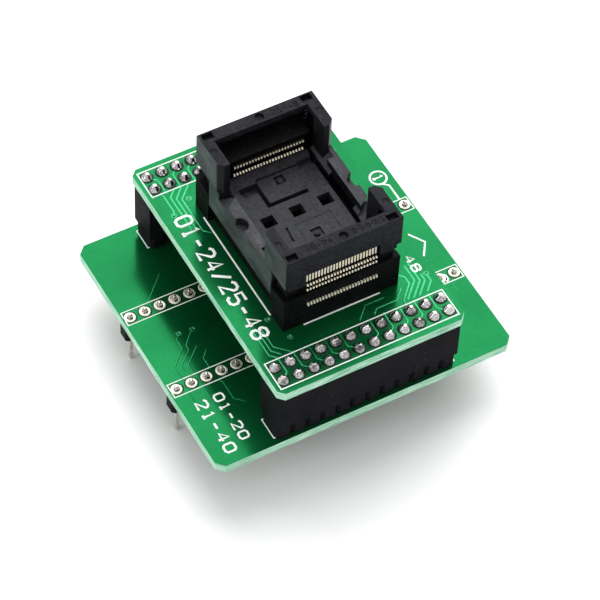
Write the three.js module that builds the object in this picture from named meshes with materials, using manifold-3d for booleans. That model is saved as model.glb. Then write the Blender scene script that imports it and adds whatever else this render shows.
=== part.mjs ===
// Plug-in chip socket adapter for a 40-pin programmer: a base board with two rows of pins underneath,
// two risers, and an adapter board that carries an open-top, press-down chip socket.
// Millimetres, +Z up. X runs along the pin rows. The origin is under the middle, level with the pin tips.
import * as THREE from 'three';
import { mergeVertices } from 'three/addons/utils/BufferGeometryUtils.js';
import Module from 'manifold-3d';

const wasm = await Module();
wasm.setup();

// ---------- driving dimensions ----------
const PITCH = 2.54;
const PIN = 0.64;
const SNUG = 0.02;

const PLUG_PINS = 20;
const PLUG_ROW = 7.62;
const HEADER_PINS = 12;
const HEADER_ROW = 20.32;

const PIN_DROP = 6.0;
const STRIP_HEIGHT = 2.5;
const STRIP_DEPTH = 2.5;
const BOARD = 1.6;
const PIN_END = 0.9;
const TAIL = 1.2;
const TIE = 0.4;

const BASE_LENGTH = 50.8;
const BASE_WIDTH = 46.8;
const BASE_CHAMFER = 1.3;
const ADAPTER_LENGTH = 31.6;
const ADAPTER_WIDTH = 47.8;
const ADAPTER_CHAMFER = 1.0;
const HOLE_RADIUS = 0.56;
const HOLE_SIDES = 6;

const HEADER_DEPTH = 5.08;
const RISER_LENGTH = 30.48;
const RISER_HEIGHT = 2.5;
const RECEPTACLE_LENGTH = 31.0;
const RECEPTACLE_HEIGHT = 8.5;

// heights of the stack
const BASE_UNDER = PIN_DROP + STRIP_HEIGHT;
const BASE_TOP = BASE_UNDER + BOARD;
const RISER_TOP = BASE_TOP + RISER_HEIGHT;
const ADAPTER_UNDER = RISER_TOP + RECEPTACLE_HEIGHT;
const SEAT_LEVEL = ADAPTER_UNDER + BOARD;

// chip socket: half sizes in plan, heights above the adapter board
const HALF_X = 9.74;
const HALF_Y = 13.76;
const WALL = 0.74;
const FRONT_WALL = 0.6;
const COVER_TOP = 15.7;
const LID = 1.1;
const RAIL_TOP = 9.8;
const RAIL_BOTTOM = 7.8;
const RAIL_X = 7.87;
const GUIDE_X = 7.35;
const GUIDE_BOTTOM = 7.5;
const SKIRT_BOTTOM = 4.2;
const CORNER_BOTTOM = 9.8;
const FRONT_BOTTOM = 8.9;
const ARM_Y = 6.6;
const BAR_Y = 11.66;
const POST_Y = 9.8;
const POST_TOP = 6.8;
const POST_SLANT = 0.7;

const CONTACTS = 24;
const CONTACT_PITCH = 0.5;
const CONTACT_WIDTH = 0.24;
const COMB_X = 6.2;
const SPRING_X = 7.95;
const SPRING_Y = 12.2;
const SPRING_RADIUS = 0.55;
const SPRING_FOOT = 2.5;
const MARGIN = 1;

// ---------- materials ----------
const finish = (color, roughness, metalness) => new THREE.MeshStandardMaterial({ color, roughness, metalness });
const board = () => finish(0x168a44, 0.45, 0.0);
const plastic = () => finish(0x1a1a1c, 0.55, 0.0);
const socketPlastic = () => finish(0x2a2a2e, 0.5, 0.0);
const tin = () => finish(0xc8c8c4, 0.3, 1.0);
const gold = () => finish(0xe6c067, 0.25, 1.0);
const steel = () => finish(0x8a8a8a, 0.35, 1.0);

// ---------- solids ----------
function solid(geometry) {
  const bare = geometry.index ? geometry.toNonIndexed() : geometry.clone();
  bare.deleteAttribute('normal');
  bare.deleteAttribute('uv');
  const merged = mergeVertices(bare, 1e-5);
  return new wasm.Manifold(new wasm.Mesh({
    numProp: 3,
    vertProperties: new Float32Array(merged.attributes.position.array),
    triVerts: new Uint32Array(merged.index.array),
  }));
}

function geometryOf(manifold) {
  const mesh = manifold.getMesh();
  const geometry = new THREE.BufferGeometry();
  geometry.setAttribute('position', new THREE.BufferAttribute(new Float32Array(mesh.vertProperties), 3));
  geometry.setIndex(new THREE.BufferAttribute(new Uint32Array(mesh.triVerts), 1));
  geometry.computeVertexNormals();
  return geometry;
}

// a box from its lowest to its highest corner
function block(x0, x1, y0, y1, z0, z1) {
  const box = new THREE.BoxGeometry(x1 - x0, y1 - y0, z1 - z0);
  box.translate((x0 + x1) / 2, (y0 + y1) / 2, (z0 + z1) / 2);
  return solid(box);
}

const outline = (points) => new THREE.Shape(points.map(([a, b]) => new THREE.Vector2(a, b)));

// an outline in X and Y, extruded upwards
function prismZ(shape, z0, z1) {
  const prism = new THREE.ExtrudeGeometry(shape, { depth: z1 - z0, bevelEnabled: false });
  prism.translate(0, 0, z0);
  return solid(prism);
}

// an outline in X and Z, extruded along Y
function prismY(points, y0, y1) {
  const prism = new THREE.ExtrudeGeometry(outline(points), { depth: y1 - y0, bevelEnabled: false });
  prism.rotateX(Math.PI / 2);
  prism.translate(0, y1, 0);
  return solid(prism);
}

// an outline in Y and Z, extruded along X
function prismX(points, x0, x1) {
  const prism = new THREE.ExtrudeGeometry(outline(points), { depth: x1 - x0, bevelEnabled: false });
  const yAxis = new THREE.Vector3(0, 1, 0);
  const zAxis = new THREE.Vector3(0, 0, 1);
  const xAxis = new THREE.Vector3(1, 0, 0);
  prism.applyMatrix4(new THREE.Matrix4().makeBasis(yAxis, zAxis, xAxis));
  prism.translate(x0, 0, 0);
  return solid(prism);
}

function postHole(x, y, radius, z0, z1, sides) {
  const cylinder = new THREE.CylinderGeometry(radius, radius, z1 - z0, sides);
  cylinder.rotateX(Math.PI / 2);
  cylinder.translate(x, y, (z0 + z1) / 2);
  return solid(cylinder);
}

const join = (pieces) => pieces.reduce((whole, piece) => whole.add(piece));
const cut = (stock, tools) => tools.reduce((whole, tool) => whole.subtract(tool), stock);
const columns = (count, pitch) => Array.from({ length: count }, (_, i) => (i - (count - 1) / 2) * pitch);

// the same piece at both ends or in all four corners
const MIRRORED = [-1, 1];
const corners = MIRRORED.flatMap((sx) => MIRRORED.map((sy) => [sx, sy]));
const span = (s, a, b) => (s > 0 ? [a, b] : [-b, -a]);
const cornerBlock = ([sx, sy], x0, x1, y0, y1, z0, z1) =>
  block(...span(sx, x0, x1), ...span(sy, y0, y1), z0, z1);

// ---------- boards ----------
function chamferedOutline(halfX, halfY, chamfer) {
  const x = halfX - chamfer;
  const y = halfY - chamfer;
  return outline([
    [-x, -halfY], [x, -halfY], [halfX, -y], [halfX, y],
    [x, halfY], [-x, halfY], [-halfX, y], [-halfX, -y],
  ]);
}

function drill(shape, x, y) {
  const hole = new THREE.Path();
  const corner = (i) => new THREE.Vector2(
    x + HOLE_RADIUS * Math.cos((2 * Math.PI * i) / HOLE_SIDES),
    y + HOLE_RADIUS * Math.sin((2 * Math.PI * i) / HOLE_SIDES),
  );
  hole.setFromPoints(Array.from({ length: HOLE_SIDES }, (_, i) => corner(HOLE_SIDES - i)));
  shape.holes.push(hole);
}

const headerRows = [-HEADER_ROW, HEADER_ROW].flatMap((y) => [y - PITCH / 2, y + PITCH / 2]);

function circuitBoard(length, width, chamfer, bottom, rows) {
  const shape = chamferedOutline(length / 2, width / 2, chamfer);
  for (const { y, count } of rows) {
    for (const x of columns(count, PITCH)) drill(shape, x, y);
  }
  return prismZ(shape, bottom, bottom + BOARD);
}

const headerHoles = headerRows.map((y) => ({ y, count: HEADER_PINS }));
const plugHoles = [-PLUG_ROW, PLUG_ROW].map((y) => ({ y, count: PLUG_PINS }));
const baseBoard = () =>
  circuitBoard(BASE_LENGTH, BASE_WIDTH, BASE_CHAMFER, BASE_UNDER, [...plugHoles, ...headerHoles]);
const adapterBoard = () =>
  circuitBoard(ADAPTER_LENGTH, ADAPTER_WIDTH, ADAPTER_CHAMFER, ADAPTER_UNDER, headerHoles);

// ---------- pins ----------
// A row of square pins. A thin bar, hidden in the plastic, ties them into one body.
function pinRow(count, y, { bottom, top, tieBottom, tieTop }, grow = 0) {
  const half = PIN / 2 + grow;
  const point = PIN / 4;
  const across = columns(count, PITCH);
  const lower = across.flatMap((x) => [
    [x - half, tieBottom - grow], [x - half, bottom + point], [x - half + point, bottom],
    [x + half - point, bottom], [x + half, bottom + point], [x + half, tieBottom - grow],
  ]);
  const upper = across.flatMap((x) => [
    [x - half, tieTop + grow], [x - half, top - point], [x - half + point, top],
    [x + half - point, top], [x + half, top - point], [x + half, tieTop + grow],
  ]);
  return prismY([...lower, ...upper.reverse()], y - half, y + half);
}

const plugPins = (y) => pinRow(PLUG_PINS, y, {
  bottom: 0,
  top: BASE_TOP + PIN_END,
  tieBottom: BASE_UNDER - TIE,
  tieTop: BASE_UNDER - SNUG,
});

const riserPins = (y) => pinRow(HEADER_PINS, y, {
  bottom: BASE_UNDER - TAIL,
  top: RISER_TOP + PIN_DROP,
  tieBottom: BASE_TOP + SNUG,
  tieTop: BASE_TOP + TIE,
});

// the room that a row of pins and its tie take in the plastic
function pinSlots(count, y, z0, z1, tieBottom, tieTop) {
  const half = PIN / 2 + SNUG;
  const across = columns(count, PITCH);
  const end = across[count - 1] + half;
  const holes = across.map((x) => block(x - half, x + half, y - half, y + half, z0 - MARGIN, z1 + MARGIN));
  return join([block(-end, end, y - half, y + half, tieBottom, tieTop), ...holes]);
}

function plugStrip(y) {
  const halfX = (PLUG_PINS * PITCH) / 2;
  const bar = block(-halfX, halfX, y - STRIP_DEPTH / 2, y + STRIP_DEPTH / 2, PIN_DROP, BASE_UNDER);
  return cut(bar, [pinSlots(PLUG_PINS, y, PIN_DROP, BASE_UNDER, BASE_UNDER - TIE - SNUG, BASE_UNDER + MARGIN)]);
}

function riser(y) {
  const halfX = RISER_LENGTH / 2;
  const bar = block(-halfX, halfX, y - HEADER_DEPTH / 2, y + HEADER_DEPTH / 2, BASE_TOP, RISER_TOP);
  const slots = [y - PITCH / 2, y + PITCH / 2].map((row) =>
    pinSlots(HEADER_PINS, row, BASE_TOP, RISER_TOP, BASE_TOP - MARGIN, BASE_TOP + TIE + SNUG));
  return cut(bar, slots);
}

// ---------- receptacles ----------
const FORK_INNER = PIN / 2 + SNUG;
const FORK_OUTER = 0.56;
const FORK_BOTTOM = RISER_TOP + 1.6;
const TAIL_TOP = SEAT_LEVEL + PIN_END;

// A row of contact forks: two leaves beside each pin, a bar over it, and a tail through the board.
function forkRow(y) {
  const across = columns(HEADER_PINS, PITCH);
  const tie = ADAPTER_UNDER - TIE;
  const under = across.flatMap((x) => [
    [x - FORK_OUTER, tie], [x - FORK_OUTER, FORK_BOTTOM], [x - FORK_INNER, FORK_BOTTOM],
    [x - FORK_INNER, tie], [x + FORK_INNER, tie], [x + FORK_INNER, FORK_BOTTOM],
    [x + FORK_OUTER, FORK_BOTTOM], [x + FORK_OUTER, tie],
  ]);
  const over = across.flatMap((x) => [
    [x - PIN / 2, ADAPTER_UNDER - SNUG], [x - PIN / 2, TAIL_TOP],
    [x + PIN / 2, TAIL_TOP], [x + PIN / 2, ADAPTER_UNDER - SNUG],
  ]);
  return prismY([...under, ...over.reverse()], y - PIN / 2, y + PIN / 2);
}

function receptacle(y) {
  const halfX = RECEPTACLE_LENGTH / 2;
  const body = block(-halfX, halfX, y - HEADER_DEPTH / 2, y + HEADER_DEPTH / 2, RISER_TOP, ADAPTER_UNDER);
  const room = PIN / 2 + SNUG;
  const cavities = [y - PITCH / 2, y + PITCH / 2].flatMap((row) => [
    ...columns(HEADER_PINS, PITCH).map((x) => block(
      x - FORK_OUTER - SNUG, x + FORK_OUTER + SNUG, row - room, row + room,
      RISER_TOP - MARGIN, ADAPTER_UNDER + MARGIN)),
    block(-HEADER_PINS * PITCH / 2 + 0.6, HEADER_PINS * PITCH / 2 - 0.6, row - room, row + room,
      ADAPTER_UNDER - TIE - SNUG, ADAPTER_UNDER + MARGIN),
  ]);
  return cut(body, cavities);
}

// ---------- chip socket, heights from the adapter board's top ----------
const up = (height) => SEAT_LEVEL + height;

const SEAT_FLOOR = 7.8;
const SEAT_UNDER = 6.3;
const SLAB_X = 8.7;
const SLAB_TOP = 5.4;
const PEDESTAL_X = 6.4;
const PEDESTAL_Y = 9.3;
const EJECT_X = 2.1;
const EJECT_Y = 2.0;
const EJECT_PITCH = 4.8;
const POCKET_IN = 10.0;
const POCKET_OUT = 13.1;
const FOOT_SLOT = [10.9, 11.4];
const STUB = [4.1, 4.7];
const LUG_Y = 1.5;
const LUG_X = 8.45;
const LUG_TOP = 4.75;
const BOSS_X = [6.95, 8.9];
const BOSS_Y = [11.2, 13.05];
const BOSS_TOP = 12.35;
const ROOF_BOTTOM = 12.0;
const ROOF_Y = [9.3, 13.05];

const ejectHoles = (z0, z1) => columns(3, EJECT_PITCH).map((x) =>
  block(x - EJECT_X / 2, x + EJECT_X / 2, -EJECT_Y / 2, EJECT_Y / 2, up(z0), up(z1)));

function socketBase() {
  const slab = block(-SLAB_X, SLAB_X, -POST_Y - MARGIN, POST_Y + MARGIN, up(0), up(SLAB_TOP));
  const pedestal = block(-PEDESTAL_X, PEDESTAL_X, -PEDESTAL_Y, PEDESTAL_Y, up(0), up(SEAT_UNDER));
  const end = (s) => prismX([
    [s * POST_Y, up(0)], [s * HALF_Y, up(0)],
    [s * HALF_Y, up(POST_TOP)], [s * POST_Y, up(POST_TOP - POST_SLANT)],
  ], -HALF_X, HALF_X);
  const comb = (s) => {
    const [y0, y1] = span(s, 12.95, POCKET_OUT);
    const uprights = MIRRORED.map((sx) => block(...span(sx, COMB_X, COMB_X + 0.5), y0, y1, up(6), up(7.95)));
    return join([block(-COMB_X - 0.5, COMB_X + 0.5, y0, y1, up(7.72), up(7.95)), ...uprights]);
  };
  const pocket = (s) => block(-COMB_X, COMB_X, ...span(s, POCKET_IN, POCKET_OUT), up(0.8), up(7.6));
  const footSlot = (s) => block(-COMB_X, COMB_X, ...span(s, ...FOOT_SLOT), up(-MARGIN), up(1));
  const dotSlot = (s) => block(-COMB_X + 0.2, COMB_X - 0.2, ...span(s, POCKET_IN + 1, HALF_Y + MARGIN),
    up(STUB[0]), up(STUB[1]));
  const lugGroove = (s) => block(...span(s, LUG_X - 0.1, SLAB_X + MARGIN), -LUG_Y - 0.1, LUG_Y + 0.1,
    up(1.9), up(LUG_TOP + 0.05));
  const boss = (c) => cornerBlock(c, ...BOSS_X, ...BOSS_Y, up(6), up(BOSS_TOP));
  const cornerWall = (c) => cornerBlock(c, 8.2, BOSS_X[1], 9.9, BOSS_Y[0] + 0.1, up(5), up(BOSS_TOP));
  const roof = (s) =>
    block(-BOSS_X[0] - 0.1, BOSS_X[0] + 0.1, ...span(s, ...ROOF_Y), up(ROOF_BOTTOM), up(BOSS_TOP));
  const springHole = ([sx, sy]) =>
    postHole(sx * SPRING_X, sy * SPRING_Y, SPRING_RADIUS + 0.1, up(SPRING_FOOT), up(BOSS_TOP + 1), 12);
  const ends = MIRRORED.flatMap((s) => [end(s), roof(s)]);
  const stock = join([slab, pedestal, ...ends, ...corners.flatMap((c) => [boss(c), cornerWall(c)])]);
  const opened = cut(stock, [
    ...MIRRORED.flatMap((s) => [pocket(s), footSlot(s), dotSlot(s), lugGroove(s)]),
    ...corners.map(springHole),
    ...ejectHoles(1.0, 7),
  ]);
  return join([opened, ...MIRRORED.map(comb)]);
}

// The chip seat: a plate with a ramp at each end, three square holes and a pad behind deep grooves.
function chipSeat() {
  const seatX = [-7.15, 6.65];
  const seatY = 9.35;
  const plate = prismX([
    [-seatY, up(SEAT_UNDER)], [seatY, up(SEAT_UNDER)], [seatY, up(8.6)], [8.9, up(8.6)],
    [7.6, up(SEAT_FLOOR)], [-7.6, up(SEAT_FLOOR)], [-8.9, up(8.6)], [-seatY, up(8.6)],
  ], ...seatX);
  const groove = (x0, x1, y0, y1) => block(x0, x1, y0, y1, up(6.65), up(9));
  const grooves = [
    groove(-3.65, 3.4, 2.35, 3.05),
    groove(-3.65, -2.9, 2.35, 7.4),
    groove(-6.0, -3.0, 5.6, 7.4),
  ];
  const recess = (x, y, size, depth) =>
    block(x - size / 2, x + size / 2, y - size / 2, y + size / 2, up(SEAT_FLOOR - depth), up(9));
  return cut(plate, [
    ...ejectHoles(6, 9), ...grooves, recess(0.5, 6.4, 1.6, 0.5), recess(0.6, -5.0, 1.75, 0.35),
  ]);
}

// The cover: a frame of thin walls with a C-shaped lid at each end and low rails between them.
function socketCover() {
  const shell = cut(block(-HALF_X, HALF_X, -HALF_Y, HALF_Y, up(SKIRT_BOTTOM), up(COVER_TOP)), [
    block(-HALF_X + WALL, HALF_X - WALL, -HALF_Y + FRONT_WALL, HALF_Y - FRONT_WALL, up(0), up(COVER_TOP + 1)),
    block(-HALF_X - 1, HALF_X + 1, -ARM_Y, ARM_Y, up(RAIL_TOP), up(COVER_TOP + 1)),
    ...MIRRORED.map((s) => block(-HALF_X - 1, HALF_X + 1, ...span(s, HALF_Y - FRONT_WALL, HALF_Y + 1),
      up(0), up(FRONT_BOTTOM))),
    ...corners.map((c) => cornerBlock(c, HALF_X - WALL, HALF_X + 1, 9.6, HALF_Y - FRONT_WALL,
      up(0), up(CORNER_BOTTOM))),
    ...corners.map((c) => cornerBlock(c, HALF_X - WALL, HALF_X + 1, HALF_Y - FRONT_WALL, HALF_Y + 1,
      up(0), up(CORNER_BOTTOM))),
  ]);
  const lid = (s) => {
    const chamfer = 0.9;
    const y = (v) => s * v;
    const half = [
      [HALF_X, HALF_Y], [HALF_X, ARM_Y + chamfer], [HALF_X - chamfer, ARM_Y],
      [RAIL_X, ARM_Y], [RAIL_X, BAR_Y],
    ];
    const points = [...half, ...half.map(([x, v]) => [-x, v]).reverse()].map(([x, v]) => [x, y(v)]);
    return prismZ(outline(points), up(COVER_TOP - LID), up(COVER_TOP));
  };
  const rail = (s) => block(...span(s, RAIL_X, HALF_X - 0.1), -5.2, 5.2, up(RAIL_BOTTOM), up(RAIL_TOP));
  const guide = ([sx, sy]) => {
    const [y0, y1] = span(sy, 3.6, 9.6);
    return prismY([
      [sx * (HALF_X - 0.1), up(GUIDE_BOTTOM)], [sx * (HALF_X - 0.1), up(9.6)],
      [sx * (HALF_X - WALL), up(9.6)], [sx * GUIDE_X, up(8.1)], [sx * GUIDE_X, up(GUIDE_BOTTOM)],
    ], y0, y1);
  };
  const post = (c) => cornerBlock(c, RAIL_X, HALF_X - 0.1, ARM_Y, 9.75, up(GUIDE_BOTTOM), up(COVER_TOP - 0.5));
  const railEnd = ([sx, sy]) => {
    const [y0, y1] = span(sy, 3, ARM_Y);
    const slope = prismY([
      [GUIDE_X - 1, 7.65], [HALF_X + 1, 8.75], [HALF_X + 1, RAIL_TOP + 1], [GUIDE_X - 1, RAIL_TOP + 1],
    ].map(([x, h]) => [sx * x, up(h)]), y0, y1);
    const corner = outline([
      [GUIDE_X - 1, 5.7], [RAIL_X, 5.0], [HALF_X + 1, 2.9], [HALF_X + 1, 7], [GUIDE_X - 1, 7],
    ].map(([x, v]) => [sx * x, sy * v]));
    return slope.intersect(prismZ(corner, up(7), up(RAIL_TOP + 2)));
  };
  const lug = (s) => block(...span(s, LUG_X, HALF_X - 0.1), -LUG_Y, LUG_Y, up(SKIRT_BOTTOM), up(LUG_TOP));
  const cornerMark = (c) => cornerBlock(c, 7.4, 9.2, 12.3, 13.5, up(COVER_TOP - 0.8), up(COVER_TOP + 1));
  const armEnd = ([sx, sy]) => {
    const wedge = outline([[HALF_X + 1, ARM_Y - 1], [HALF_X + 1, ARM_Y + 1.9], [HALF_X - 1.9, ARM_Y - 1]]
      .map(([x, v]) => [sx * x, sy * v]));
    return prismZ(wedge, up(RAIL_TOP), up(COVER_TOP + 1));
  };
  const railNotch = (s) => postHole(s * HALF_X, 0, 1.35, up(RAIL_TOP - 1.6), up(RAIL_TOP + 1), 20);
  const contactRoom = (s) => [
    block(-COMB_X, COMB_X, ...span(s, HALF_Y - FRONT_WALL - 1, HALF_Y + 1), up(8), up(11.25)),
    block(-COMB_X, COMB_X, ...span(s, HALF_Y - FRONT_WALL - 1, HALF_Y - 0.26), up(8), up(13.6)),
  ];
  const whole = join([
    shell, ...MIRRORED.flatMap((s) => [lid(s), rail(s), lug(s)]), ...corners.flatMap((c) => [guide(c), post(c)]),
  ]);
  return cut(whole, [
    ...corners.flatMap((c) => [cornerMark(c), armEnd(c)]),
    railEnd([1, -1]), railEnd([-1, 1]),
    ...MIRRORED.flatMap((s) => [railNotch(s), ...contactRoom(s)]),
  ]);
}

// ---------- socket contacts: distance from the middle, height above the board ----------
const LOWER_CONTACT = [
  [11.0, 0.05], [11.3, 0.05], [11.3, 4.15], [14.05, 4.15], [14.05, 4.65],
  [11.3, 4.65], [11.3, 7.3], [9.15, 9.6], [8.9, 9.3], [11.0, 7.1],
];
const JAW = [
  [12.6, 7.15], [13.6, 7.2], [13.55, 7.5], [12.9, 7.6], [12.9, 8.2], [13.6, 8.25], [13.55, 8.55],
  [12.95, 8.7], [13.2, 9.0], [13.2, 11.25], [13.0, 11.45], [9.1, 11.45], [8.9, 11.25], [8.9, 10.9],
  [9.2, 11.15], [12.6, 11.15],
];

// Thin plates side by side, tied into one body by a bar inside the base or the jaw.
function contactRow(s, profile, bar) {
  const points = profile.map(([d, h]) => [s * d, up(h)]);
  const plates = columns(CONTACTS, CONTACT_PITCH).map((x) =>
    prismX(points, x - CONTACT_WIDTH / 2, x + CONTACT_WIDTH / 2));
  const end = ((CONTACTS - 1) * CONTACT_PITCH) / 2;
  const [d0, d1, h0, h1] = bar;
  return join([block(-end, end, ...span(s, d0, d1), up(h0), up(h1)), ...plates]);
}

const lowerContacts = (s) => contactRow(s, LOWER_CONTACT, [11.05, 11.25, 1.5, 2.0]);
const contactJaw = (s) => contactRow(s, JAW, [12.0, 12.4, 11.2, 11.4]);

function spring(x, y) {
  const height = COVER_TOP - LID - SPRING_FOOT - SNUG;
  const profile = [
    [SPRING_RADIUS - 0.2, 0], [SPRING_RADIUS, 0], [SPRING_RADIUS, height], [SPRING_RADIUS - 0.2, height],
    [SPRING_RADIUS - 0.2, 0],
  ].map(([r, h]) => new THREE.Vector2(r, h));
  const tube = new THREE.LatheGeometry(profile, 12);
  tube.rotateX(Math.PI / 2);
  tube.translate(x, y, up(SPRING_FOOT));
  return solid(tube);
}

// ---------- assembly ----------
const group = new THREE.Group();

function place(name, manifold, material) {
  const mesh = new THREE.Mesh(geometryOf(manifold), material);
  mesh.name = name;
  group.add(mesh);
}

place('base_board', baseBoard(), board());
place('adapter_board', adapterBoard(), board());
for (const [end, s] of [['front', -1], ['rear', 1]]) {
  place(`plug_strip_${end}`, plugStrip(s * PLUG_ROW), plastic());
  place(`plug_pins_${end}`, plugPins(s * PLUG_ROW), tin());
  place(`riser_${end}`, riser(s * HEADER_ROW), plastic());
  place(`receptacle_${end}`, receptacle(s * HEADER_ROW), plastic());
  for (const [side, t] of [['outer', 1], ['inner', -1]]) {
    const row = s * (HEADER_ROW + (t * PITCH) / 2);
    place(`riser_pins_${end}_${side}`, riserPins(row), tin());
    place(`fork_contacts_${end}_${side}`, forkRow(row), gold());
  }
  place(`lower_contacts_${end}`, lowerContacts(s), gold());
  place(`contact_jaw_${end}`, contactJaw(s), gold());
  for (const [side, t] of [['left', -1], ['right', 1]]) {
    place(`cover_spring_${end}_${side}`, spring(t * SPRING_X, s * SPRING_Y), steel());
  }
}
place('socket_base', socketBase(), plastic());
place('chip_seat', chipSeat(), socketPlastic());
place('socket_cover', socketCover(), socketPlastic());

export default group;
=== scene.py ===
from contextlib import contextmanager
from math import cos, pi, radians, sin

import bmesh
import bpy
from mathutils import Matrix, Vector


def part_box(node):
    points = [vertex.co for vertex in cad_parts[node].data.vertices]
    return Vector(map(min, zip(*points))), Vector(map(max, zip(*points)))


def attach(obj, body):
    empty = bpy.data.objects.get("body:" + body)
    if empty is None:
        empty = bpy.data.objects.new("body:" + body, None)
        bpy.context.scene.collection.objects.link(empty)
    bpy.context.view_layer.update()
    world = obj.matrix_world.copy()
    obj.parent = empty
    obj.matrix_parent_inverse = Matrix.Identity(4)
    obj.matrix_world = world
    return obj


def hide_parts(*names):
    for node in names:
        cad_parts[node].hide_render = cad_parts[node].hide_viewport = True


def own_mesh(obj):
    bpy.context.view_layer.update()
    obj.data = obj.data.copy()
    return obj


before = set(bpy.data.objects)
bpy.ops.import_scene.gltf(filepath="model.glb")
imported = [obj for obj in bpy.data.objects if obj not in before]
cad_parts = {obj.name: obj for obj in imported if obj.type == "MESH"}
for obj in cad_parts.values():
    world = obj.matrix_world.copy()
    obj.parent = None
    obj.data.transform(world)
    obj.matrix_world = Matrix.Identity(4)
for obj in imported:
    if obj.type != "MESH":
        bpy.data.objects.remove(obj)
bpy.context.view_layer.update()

# ---------- sizes, in millimetres; places come from the frame ----------
MM = 0.001
PITCH = 2.54
PIN_HALF = 0.32
PLUG_PINS = 20
HEADER_PINS = 12
CONTACTS = 24
CONTACT_PITCH = 0.5
CORNER_BREAK = 0.08
HEADER_BREAK = 0.06
BASE_LINE = 0.26                # widths of the printed lines, tracks and openings
ADAPTER_LINE = 0.28
FAINT_TRACK_WIDTH = 0.26
TRACK_WIDTH = 0.28
OPENING_WIDTH = 0.26
OPENING_RISE = 0.02             # how far they stand above a board
TRACK_RISE = 0.03
EYE_RISE = 0.035
PRINT_RISE = 0.05
SEAT_FLOOR = 7.8                # above the adapter
RIB_WIDTH = 0.23
SPRING_WIRE = 0.11              # radius of the wire
SPRING_TURNS = 14
SPRING_STEPS = 12               # points to a turn
ENDS = ("front", "rear")
SIDES = tuple(zip(ENDS, (-1, 1)))


def in_mm(node):
    low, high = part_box(node)
    return low / MM, high / MM


base_low, base_high = in_mm("base_board")
cover_low, cover_high = in_mm("socket_cover")
BASE_TOP = base_high.z
BASE_UNDER = base_low.z
ADAPTER_TOP = in_mm("adapter_board")[1].z
COVER_TOP = cover_high.z
PLUG_ROW = 3 * PITCH
HEADER_ROW = 8 * PITCH
HEADER_ROWS = [s * HEADER_ROW + t * PITCH / 2 for s in (-1, 1) for t in (-1, 1)]


def columns(count, pitch=PITCH):
    return [(i - (count - 1) / 2) * pitch for i in range(count)]


# ---------- modelling by hand ----------
def only(*pieces):
    bpy.ops.object.select_all(action="DESELECT")
    for piece in pieces:
        piece.select_set(True)
    bpy.context.view_layer.objects.active = pieces[0]


def freeze(piece, name):
    """Puts the piece's place and size in its mesh."""
    only(piece)
    bpy.ops.object.transform_apply(location=True, rotation=True, scale=True)
    piece.name = name
    piece.data.name = name
    return piece


def block(name, low, high):
    low, high = Vector(low), Vector(high)
    bpy.ops.object.select_all(action="DESELECT")
    bpy.ops.mesh.primitive_cube_add(size=MM, location=(low + high) / 2 * MM, scale=high - low)
    return freeze(bpy.context.object, name)


def rod(name, radius, low, high, at=(0, 0), sides=16):
    bpy.ops.object.select_all(action="DESELECT")
    middle = Vector((at[0], at[1], (low + high) / 2))
    bpy.ops.mesh.primitive_cylinder_add(
        vertices=sides, radius=radius * MM, depth=(high - low) * MM, location=middle * MM)
    return freeze(bpy.context.object, name)


@contextmanager
def editing(piece, kind):
    only(piece)
    bpy.ops.object.mode_set(mode="EDIT")
    bpy.ops.mesh.select_mode(type=kind)
    bpy.ops.mesh.select_all(action="DESELECT")
    yield
    bpy.ops.object.mode_set(mode="OBJECT")


def choose(piece, test):
    """Selects the edges or faces whose middle, in millimetres, and direction pass the test."""
    mesh = bmesh.from_edit_mesh(piece.data)
    for face in mesh.faces if "FACE" in mesh.select_mode else ():
        if test(face.calc_center_median() / MM, face.normal):
            face.select_set(True)
    for edge in mesh.edges if "EDGE" in mesh.select_mode else ():
        a, b = (vert.co for vert in edge.verts)
        if test((a + b) / 2 / MM, (b - a).normalized()):
            edge.select_set(True)
    bmesh.update_edit_mesh(piece.data)


def extrude(rise, narrowing=1.0):
    """Extrudes the selected level face upwards and narrows it about the axis of the piece."""
    bpy.ops.mesh.extrude_region_move(TRANSFORM_OT_translate={"value": (0, 0, rise * MM)})
    bpy.ops.transform.resize(value=(narrowing, narrowing, 1))


def shift(piece, move):
    piece.data.transform(Matrix.Translation(Vector(move) * MM))
    return piece


def copies(piece, places):
    """A copy of the piece at each place, and the piece itself goes."""
    made = []
    for place in places:
        twin = bpy.data.objects.new(piece.name, piece.data.copy())
        bpy.context.scene.collection.objects.link(twin)
        made.append(shift(twin, place))
    bpy.data.objects.remove(piece)
    return made


def joined(name, pieces):
    only(*pieces)
    if len(pieces) > 1:
        bpy.ops.object.join()
    whole = bpy.context.object
    whole.name = name
    whole.data.name = name
    return whole


def apply(piece, kind, **settings):
    only(piece)
    modifier = piece.modifiers.new(kind.lower(), kind)
    for setting, value in settings.items():
        setattr(modifier, setting, value)
    bpy.ops.object.modifier_apply(modifier=modifier.name)
    return piece


def smooth(piece, angle=38):
    only(piece)
    bpy.ops.object.shade_smooth_by_angle(angle=radians(angle))
    return apply(piece, "WEIGHTED_NORMAL", keep_sharp=True)


def round_edges(piece, width=CORNER_BREAK, segments=2):
    apply(piece, "BEVEL", width=width * MM, segments=segments, limit_method="ANGLE",
          angle_limit=radians(35))
    return smooth(piece)


def carve(piece, *tools):
    for tool in tools:
        apply(piece, "BOOLEAN", operation="DIFFERENCE", solver="EXACT", object=tool)
        bpy.data.objects.remove(tool)
    return piece


def made_from(node, name):
    """A merged copy of a CAD node, to be finished by hand."""
    piece = bpy.data.objects.new(name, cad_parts[node].data.copy())
    bpy.context.scene.collection.objects.link(piece)
    piece.data.materials.clear()
    with editing(piece, "VERT"):
        bpy.ops.mesh.select_all(action="SELECT")
        bpy.ops.mesh.remove_doubles(threshold=1e-6)
        bpy.ops.mesh.dissolve_limited(angle_limit=radians(1))
    return piece


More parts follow.
